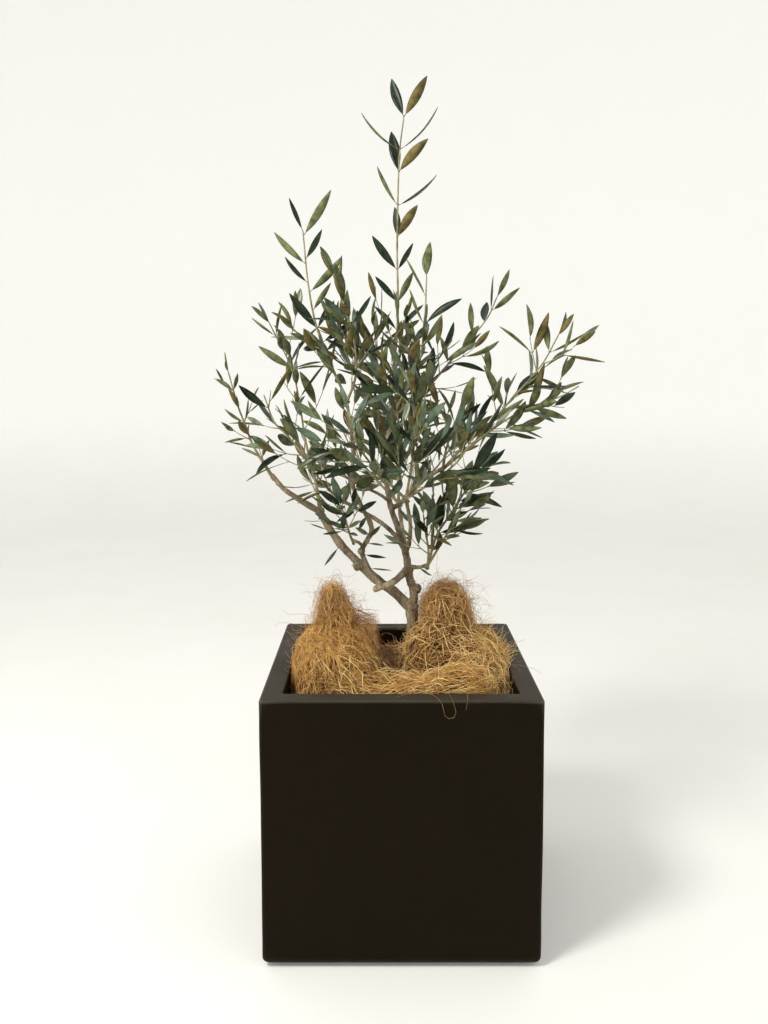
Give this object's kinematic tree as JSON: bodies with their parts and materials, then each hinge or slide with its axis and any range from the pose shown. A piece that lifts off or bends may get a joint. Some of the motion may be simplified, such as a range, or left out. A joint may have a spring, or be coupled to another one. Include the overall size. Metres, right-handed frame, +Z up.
{
  "type": "potted olive tree",
  "caption": "Young olive tree in a square matt black planter, topped with coir fibre; open crown of slender leaves.",
  "frame": {"origin": "centre of the flat underside of the planter's plinth, on the floor", "axes": "+Z up along the height of the tree, -Y towards the front as pictured, +X to the viewer's right"},
  "size_m": [0.5717, 0.4648, 1.2124],
  "materials": {
    "planter": "matt charcoal black fibre clay",
    "soil": "dark moist potting mix",
    "coir": "golden brown coconut fibre",
    "bark": "smooth grey-tan bark",
    "foliage": "semi-gloss grey-green leaves with olive undersides"
  },
  "bodies": {
    "root": {"planter": "planter", "soil": "soil", "trunk": "bark", "bough_left": "bark", "bough_left_outer": "bark", "bough_centre": "bark", "leader": "bark", "bough_pruned": "bark", "bough_riser": "bark", "bough_inner": "bark", "bough_crossing": "bark", "bough_diagonal": "bark", "bough_right": "bark", "bough_spur": "bark", "bough_front": "bark", "bough_back": "bark", "coir_heap_left": "coir", "coir_heap_right": "coir", "coir_roll_front": "coir", "foliage_top": "foliage", "foliage_left_tip": "foliage", "foliage_left_upper": "foliage", "foliage_low_left": "foliage", "foliage_inner_left": "foliage", "foliage_mid_left": "foliage", "foliage_left_high": "foliage", "foliage_centre_left": "foliage", "foliage_upper_right": "foliage", "foliage_right_top": "foliage", "foliage_right_upper": "foliage", "foliage_right_outer": "foliage", "foliage_right_inner": "foliage", "foliage_low_centre": "foliage", "foliage_low_right": "foliage", "foliage_low_right_outer": "foliage", "foliage_front_centre": "foliage", "foliage_front_left": "foliage", "foliage_front_right": "foliage", "foliage_back_centre": "foliage", "foliage_back_left": "foliage", "foliage_back_right": "foliage", "foliage_centre_back": "foliage"}
  },
  "joints": []
}
